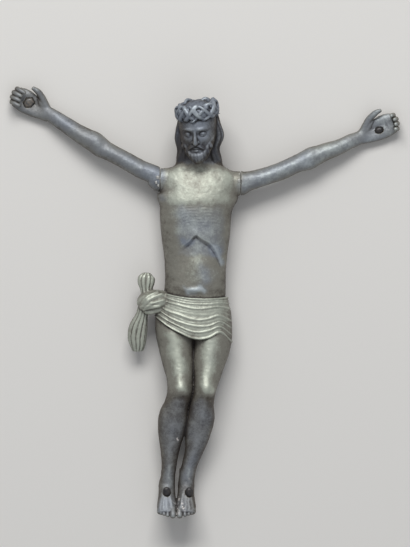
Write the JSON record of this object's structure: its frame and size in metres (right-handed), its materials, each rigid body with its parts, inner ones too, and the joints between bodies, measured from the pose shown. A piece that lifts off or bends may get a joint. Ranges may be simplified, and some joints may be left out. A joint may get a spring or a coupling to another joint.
{
  "type": "christ figure",
  "caption": "Cast bronze crucifix figure with outstretched arms, bowed head with a crown of thorns, knotted loincloth and nailed hands and feet; lies flat on its back.",
  "frame": {"origin": "middle of the bounding box, on the plane that the back, hands and nails lie on", "axes": "+Z out of the figure's chest, +Y towards its head, +X towards its left hand"},
  "size_m": [0.1954, 0.216, 0.0348],
  "materials": {
    "bronze": "dark grey-green patina, rubbed bright on high places",
    "iron": "dark forged, lightly rusted"
  },
  "bodies": {
    "root": {"body": "bronze", "right_arm": "bronze", "left_arm": "bronze", "right_hand_nail": "iron", "left_hand_nail": "iron", "right_foot_nail": "iron", "left_foot_nail": "iron"}
  },
  "joints": []
}
